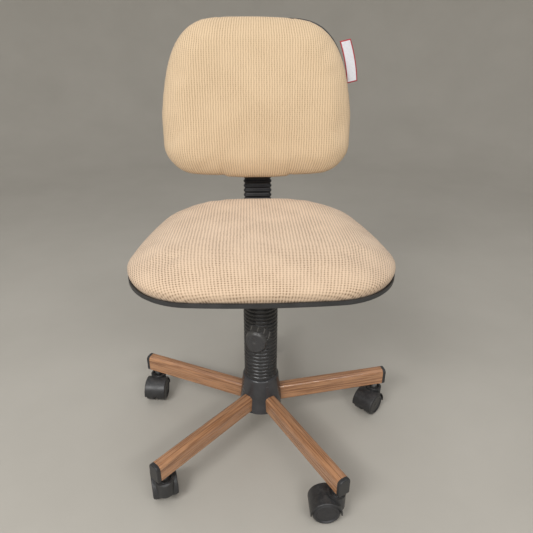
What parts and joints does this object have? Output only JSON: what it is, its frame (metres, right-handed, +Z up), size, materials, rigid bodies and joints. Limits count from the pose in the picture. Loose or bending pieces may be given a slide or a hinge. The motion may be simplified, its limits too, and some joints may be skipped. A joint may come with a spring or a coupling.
{
  "type": "desk chair",
  "caption": "Armless desk chair: padded fabric seat and curved back on a height-adjustable column with a ribbed boot, over a wood-look star base on hooded casters.",
  "frame": {"origin": "on the floor, on the column's axis", "axes": "+Z up, the sitter faces -Y, +X at the sitter's left"},
  "size_m": [0.5881, 0.5789, 0.8692],
  "materials": {
    "tan_fabric": "ribbed woven upholstery",
    "black_plastic": "moulded, fine grain",
    "wood_foil": "satin wood-grain foil on steel tube",
    "steel": "zinc plated",
    "black_steel": "powder coat",
    "rubber": "moulded, matte",
    "plywood": "raw",
    "wheel_plastic": "moulded nylon",
    "label_cloth": "plain woven tape with a coloured border"
  },
  "bodies": {
    "base": {"base_arm_1": "wood_foil", "base_arm_2": "wood_foil", "base_arm_3": "wood_foil", "base_arm_4": "wood_foil", "base_arm_5": "wood_foil", "arm_end_caps": "black_plastic", "caster_sockets": "steel", "hub_cover": "black_plastic", "hub_sleeve": "black_steel", "gas_outer_tube": "black_steel", "gas_guide_bush": "wheel_plastic", "gas_piston_rod": "steel", "gas_thrust_bearing": "steel", "column_boot": "rubber"},
    "lift": {"boot_top_ring": "black_plastic"},
    "seat": {"gas_cylinder": "steel", "seat_mechanism": "black_steel", "lever_pin": "steel", "bar_guide": "black_plastic", "seat_shell": "black_plastic", "seat_pan": "plywood", "seat_cushion": "tan_fabric", "seat_screws": "steel"},
    "lever": {"release_lever": "black_steel", "lever_handle": "black_plastic"},
    "release_pin": {"gas_release_pin": "steel"},
    "depth_clamp": {"depth_knob": "black_plastic"},
    "upright": {"back_bar": "black_steel", "upright_sleeve": "rubber"},
    "carriage": {"back_carriage": "black_plastic", "pivot_pin": "steel"},
    "height_clamp": {"height_knob": "black_plastic"},
    "back": {"pivot_bracket": "black_steel", "back_shell": "black_plastic", "back_pan": "plywood", "back_cushion": "tan_fabric", "back_screws": "steel", "back_label": "label_cloth"},
    "caster_1": {"caster_hood_1": "black_plastic", "caster_pins_1": "steel"},
    "wheel_1_a": {"caster_wheel_1_a": "wheel_plastic"},
    "wheel_1_b": {"caster_wheel_1_b": "wheel_plastic"},
    "caster_2": {"caster_hood_2": "black_plastic", "caster_pins_2": "steel"},
    "wheel_2_a": {"caster_wheel_2_a": "wheel_plastic"},
    "wheel_2_b": {"caster_wheel_2_b": "wheel_plastic"},
    "caster_3": {"caster_hood_3": "black_plastic", "caster_pins_3": "steel"},
    "wheel_3_a": {"caster_wheel_3_a": "wheel_plastic"},
    "wheel_3_b": {"caster_wheel_3_b": "wheel_plastic"},
    "caster_4": {"caster_hood_4": "black_plastic", "caster_pins_4": "steel"},
    "wheel_4_a": {"caster_wheel_4_a": "wheel_plastic"},
    "wheel_4_b": {"caster_wheel_4_b": "wheel_plastic"},
    "caster_5": {"caster_hood_5": "black_plastic", "caster_pins_5": "steel"},
    "wheel_5_a": {"caster_wheel_5_a": "wheel_plastic"},
    "wheel_5_b": {"caster_wheel_5_b": "wheel_plastic"}
  },
  "joints": [
    {"name": "seat_height", "type": "slide", "parent": "base", "child": "lift", "axis": [0, 0, 1], "range_m": [-0.07, 0.045], "deforming": ["column_boot"]},
    {"name": "seat_swivel", "type": "hinge", "parent": "lift", "child": "seat", "pos_m": [0, 0, 0.425], "axis": [0, 0, 1], "continuous": true},
    {"name": "lever_lift", "type": "hinge", "parent": "seat", "child": "lever", "pos_m": [0.024, 0, 0.4378], "axis": [0, -1, 0], "range_deg": [0, 7], "stiffness_Nm_per_rad": 3},
    {"name": "release_press", "type": "slide", "parent": "seat", "child": "release_pin", "axis": [0, 0, 1], "range_m": [-0.0036, 0]},
    {"name": "depth_clamp_turn", "type": "hinge", "parent": "seat", "child": "depth_clamp", "pos_m": [0, 0.1075, 0.437], "axis": [0, 0, 1], "range_deg": [0, 180]},
    {"name": "back_depth", "type": "slide", "parent": "seat", "child": "upright", "axis": [0, 1, 0], "range_m": [-0.012, 0.03]},
    {"name": "back_height", "type": "slide", "parent": "upright", "child": "carriage", "axis": [0, 0.1045, 0.9945], "range_m": [-0.015, 0.05], "deforming": ["upright_sleeve"]},
    {"name": "height_clamp_turn", "type": "hinge", "parent": "carriage", "child": "height_clamp", "pos_m": [0, 0.25639, 0.70056], "axis": [0, 0.9945, -0.1045], "range_deg": [0, 180]},
    {"name": "back_tilt", "type": "hinge", "parent": "carriage", "child": "back", "pos_m": [0, 0.23351, 0.70297], "axis": [-1, 0, 0], "range_deg": [-4, 8]},
    {"name": "caster_swivel_1", "type": "hinge", "parent": "base", "child": "caster_1", "pos_m": [0.1359, -0.24823, 0.074], "axis": [0, 0, 1], "continuous": true},
    {"name": "wheel_spin_1_a", "type": "hinge", "parent": "caster_1", "child": "wheel_1_a", "pos_m": [0.1159, -0.24823, 0.027], "axis": [0, -1, 0], "continuous": true},
    {"name": "wheel_spin_1_b", "type": "hinge", "parent": "caster_1", "child": "wheel_1_b", "pos_m": [0.1159, -0.24823, 0.027], "axis": [0, -1, 0], "continuous": true},
    {"name": "caster_swivel_2", "type": "hinge", "parent": "base", "child": "caster_2", "pos_m": [0.27808, 0.05254, 0.074], "axis": [0, 0, 1], "continuous": true},
    {"name": "wheel_spin_2_a", "type": "hinge", "parent": "caster_2", "child": "wheel_2_a", "pos_m": [0.26364, 0.0387, 0.027], "axis": [0.6921, -0.7218, 0], "continuous": true},
    {"name": "wheel_spin_2_b", "type": "hinge", "parent": "caster_2", "child": "wheel_2_b", "pos_m": [0.26364, 0.0387, 0.027], "axis": [0.6921, -0.7218, 0], "continuous": true},
    {"name": "caster_swivel_3", "type": "hinge", "parent": "base", "child": "caster_3", "pos_m": [0.03596, 0.28071, 0.074], "axis": [0, 0, 1], "continuous": true},
    {"name": "wheel_spin_3_a", "type": "hinge", "parent": "caster_3", "child": "wheel_3_a", "pos_m": [0.01596, 0.28071, 0.027], "axis": [0, -1, 0], "continuous": true},
    {"name": "wheel_spin_3_b", "type": "hinge", "parent": "caster_3", "child": "wheel_3_b", "pos_m": [0.01596, 0.28071, 0.027], "axis": [0, -1, 0], "continuous": true},
    {"name": "caster_swivel_4", "type": "hinge", "parent": "base", "child": "caster_4", "pos_m": [-0.25585, 0.12094, 0.074], "axis": [0, 0, 1], "continuous": true},
    {"name": "wheel_spin_4_a", "type": "hinge", "parent": "caster_4", "child": "wheel_4_a", "pos_m": [-0.25795, 0.10105, 0.027], "axis": [0.9945, -0.1045, 0], "continuous": true},
    {"name": "wheel_spin_4_b", "type": "hinge", "parent": "caster_4", "child": "wheel_4_b", "pos_m": [-0.25795, 0.10105, 0.027], "axis": [0.9945, -0.1045, 0], "continuous": true},
    {"name": "caster_swivel_5", "type": "hinge", "parent": "base", "child": "caster_5", "pos_m": [-0.19409, -0.20596, 0.074], "axis": [0, 0, 1], "continuous": true},
    {"name": "wheel_spin_5_a", "type": "hinge", "parent": "caster_5", "child": "wheel_5_a", "pos_m": [-0.1996, -0.18673, 0.027], "axis": [-0.9613, -0.2756, 0], "continuous": true},
    {"name": "wheel_spin_5_b", "type": "hinge", "parent": "caster_5", "child": "wheel_5_b", "pos_m": [-0.1996, -0.18673, 0.027], "axis": [-0.9613, -0.2756, 0], "continuous": true}
  ],
  "couplings": [
    {"joint": "release_press", "follows": "lever_lift", "m_per_rad": -0.028}
  ]
}
